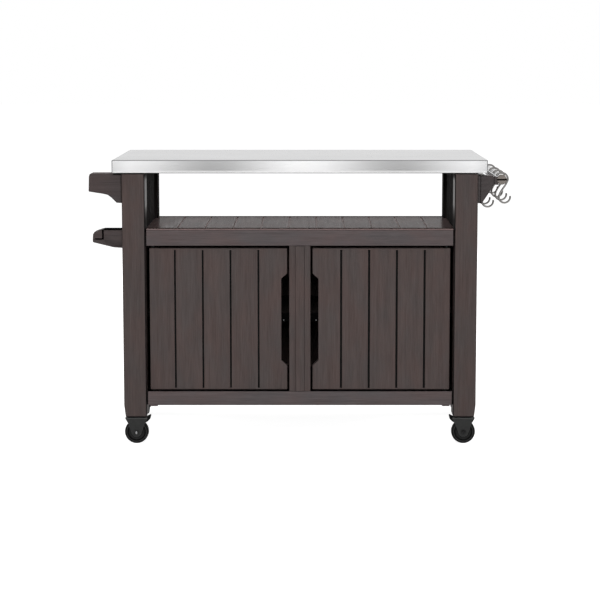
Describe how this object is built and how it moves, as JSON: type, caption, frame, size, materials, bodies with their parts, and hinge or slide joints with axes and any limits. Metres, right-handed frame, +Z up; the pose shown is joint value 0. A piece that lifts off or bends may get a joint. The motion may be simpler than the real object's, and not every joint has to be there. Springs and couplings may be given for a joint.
{
  "type": "bar cart",
  "caption": "Rolling bar cart with a folded steel top, an open shelf over a cabinet with hinged doors, side arms for a towel roll and a rack, a hook bar and casters.",
  "frame": {"origin": "on the floor, under the middle of the cart", "axes": "+X to the viewer's right along the cart's length, -Y towards the doors' side, +Z up"},
  "size_m": [1.3145, 0.52, 0.9],
  "materials": {
    "brown_resin": "satin, faint wood grain",
    "shelf_resin": "satin, faint wood grain",
    "brushed_steel": "brushed",
    "wire_steel": "bright wire",
    "zinc_plate": "zinc plated",
    "fork_steel": "dark grey paint",
    "tyre_rubber": "matt",
    "black_plastic": "satin"
  },
  "bodies": {
    "cart": {"top_deck": "brown_resin", "leg_front_left": "brown_resin", "leg_front_right": "brown_resin", "leg_rear_left": "brown_resin", "leg_rear_right": "brown_resin", "side_panel_left": "brown_resin", "side_panel_right": "brown_resin", "shelf_front_rail": "brown_resin", "bottom_front_rail": "brown_resin", "cabinet_floor": "brown_resin", "back_panel": "brown_resin", "centre_post": "brown_resin", "centre_divider": "brown_resin", "inner_shelf_left": "brown_resin", "inner_shelf_right": "brown_resin", "towel_arm_front": "brown_resin", "towel_arm_rear": "brown_resin", "rack_arm_front": "brown_resin", "rack_end_cap": "brown_resin", "rack_tray": "brown_resin", "bar_bracket_front": "brown_resin", "bar_bracket_rear": "brown_resin", "bar_plug_front": "brown_resin", "shelf_board": "shelf_resin", "steel_top": "brushed_steel", "hook_bar": "brushed_steel", "inner_rail": "zinc_plate", "door_catch_left": "zinc_plate", "door_catch_right": "zinc_plate", "hinge_pin_bottom_left": "zinc_plate", "hinge_pin_top_left": "zinc_plate", "hinge_pin_bottom_right": "zinc_plate", "hinge_pin_top_right": "zinc_plate", "caster_plate_front_left": "zinc_plate", "caster_plate_front_right": "zinc_plate", "caster_plate_rear_left": "zinc_plate", "caster_plate_rear_right": "zinc_plate"},
    "door_left": {"door_left": "brown_resin"},
    "door_right": {"door_right": "brown_resin"},
    "towel_rod": {"towel_rod": "brushed_steel"},
    "hook_1": {"hook_1": "wire_steel"},
    "hook_2": {"hook_2": "wire_steel"},
    "hook_3": {"hook_3": "wire_steel"},
    "hook_4": {"hook_4": "wire_steel"},
    "hook_5": {"hook_5": "wire_steel"},
    "hook_6": {"hook_6": "wire_steel"},
    "fork_front_left": {"caster_fork_front_left": "fork_steel", "caster_axle_front_left": "zinc_plate"},
    "wheel_front_left": {"caster_wheel_front_left": "tyre_rubber"},
    "brake_front_left": {"brake_lever_front_left": "black_plastic"},
    "fork_front_right": {"caster_fork_front_right": "fork_steel", "caster_axle_front_right": "zinc_plate"},
    "wheel_front_right": {"caster_wheel_front_right": "tyre_rubber"},
    "brake_front_right": {"brake_lever_front_right": "black_plastic"},
    "fork_rear_left": {"caster_fork_rear_left": "fork_steel", "caster_axle_rear_left": "zinc_plate"},
    "wheel_rear_left": {"caster_wheel_rear_left": "tyre_rubber"},
    "fork_rear_right": {"caster_fork_rear_right": "fork_steel", "caster_axle_rear_right": "zinc_plate"},
    "wheel_rear_right": {"caster_wheel_rear_right": "tyre_rubber"}
  },
  "joints": [
    {"name": "door_left_hinge", "type": "hinge", "parent": "cart", "child": "door_left", "pos_m": [-0.4576, -0.227, 0.4], "axis": [0, 0, -1], "range_deg": [0, 105]},
    {"name": "door_right_hinge", "type": "hinge", "parent": "cart", "child": "door_right", "pos_m": [0.4576, -0.227, 0.4], "axis": [0, 0, 1], "range_deg": [0, 105]},
    {"name": "towel_rod_spin", "type": "hinge", "parent": "cart", "child": "towel_rod", "pos_m": [-0.628, 0.02, 0.812], "axis": [0, 1, 0], "continuous": true},
    {"name": "hook_1_swing", "type": "hinge", "parent": "cart", "child": "hook_1", "pos_m": [0.6272, -0.21, 0.837], "axis": [0, 1, 0], "range_deg": [-20, 20]},
    {"name": "hook_2_swing", "type": "hinge", "parent": "cart", "child": "hook_2", "pos_m": [0.6272, -0.11, 0.837], "axis": [0, 1, 0], "range_deg": [-20, 20]},
    {"name": "hook_3_swing", "type": "hinge", "parent": "cart", "child": "hook_3", "pos_m": [0.6272, 0, 0.837], "axis": [0, 1, 0], "range_deg": [-20, 20]},
    {"name": "hook_4_swing", "type": "hinge", "parent": "cart", "child": "hook_4", "pos_m": [0.6272, 0.14, 0.837], "axis": [0, 1, 0], "range_deg": [-20, 20]},
    {"name": "hook_5_swing", "type": "hinge", "parent": "cart", "child": "hook_5", "pos_m": [0.5814, -0.16, 0.8309], "axis": [0, 1, 0], "range_deg": [-10, 10]},
    {"name": "hook_6_swing", "type": "hinge", "parent": "cart", "child": "hook_6", "pos_m": [0.5814, -0.06, 0.8309], "axis": [0, 1, 0], "range_deg": [-10, 10]},
    {"name": "front_left_swivel", "type": "hinge", "parent": "cart", "child": "fork_front_left", "pos_m": [-0.529, -0.21, 0.088], "axis": [0, 0, 1], "continuous": true},
    {"name": "front_left_roll", "type": "hinge", "parent": "fork_front_left", "child": "wheel_front_left", "pos_m": [-0.516, -0.21, 0.0375], "axis": [0, 1, 0], "continuous": true},
    {"name": "front_left_brake", "type": "hinge", "parent": "fork_front_left", "child": "brake_front_left", "pos_m": [-0.492, -0.21, 0.0735], "axis": [0, 1, 0], "range_deg": [0, 12]},
    {"name": "front_right_swivel", "type": "hinge", "parent": "cart", "child": "fork_front_right", "pos_m": [0.529, -0.21, 0.088], "axis": [0, 0, 1], "continuous": true},
    {"name": "front_right_roll", "type": "hinge", "parent": "fork_front_right", "child": "wheel_front_right", "pos_m": [0.516, -0.21, 0.0375], "axis": [0, 1, 0], "continuous": true},
    {"name": "front_right_brake", "type": "hinge", "parent": "fork_front_right", "child": "brake_front_right", "pos_m": [0.492, -0.21, 0.0735], "axis": [0, -1, 0], "range_deg": [0, 12]},
    {"name": "rear_left_swivel", "type": "hinge", "parent": "cart", "child": "fork_rear_left", "pos_m": [-0.529, 0.2225, 0.088], "axis": [0, 0, 1], "continuous": true},
    {"name": "rear_left_roll", "type": "hinge", "parent": "fork_rear_left", "child": "wheel_rear_left", "pos_m": [-0.529, 0.2095, 0.0375], "axis": [1, 0, 0], "continuous": true},
    {"name": "rear_right_swivel", "type": "hinge", "parent": "cart", "child": "fork_rear_right", "pos_m": [0.529, 0.2225, 0.088], "axis": [0, 0, 1], "continuous": true},
    {"name": "rear_right_roll", "type": "hinge", "parent": "fork_rear_right", "child": "wheel_rear_right", "pos_m": [0.529, 0.2095, 0.0375], "axis": [1, 0, 0], "continuous": true}
  ]
}
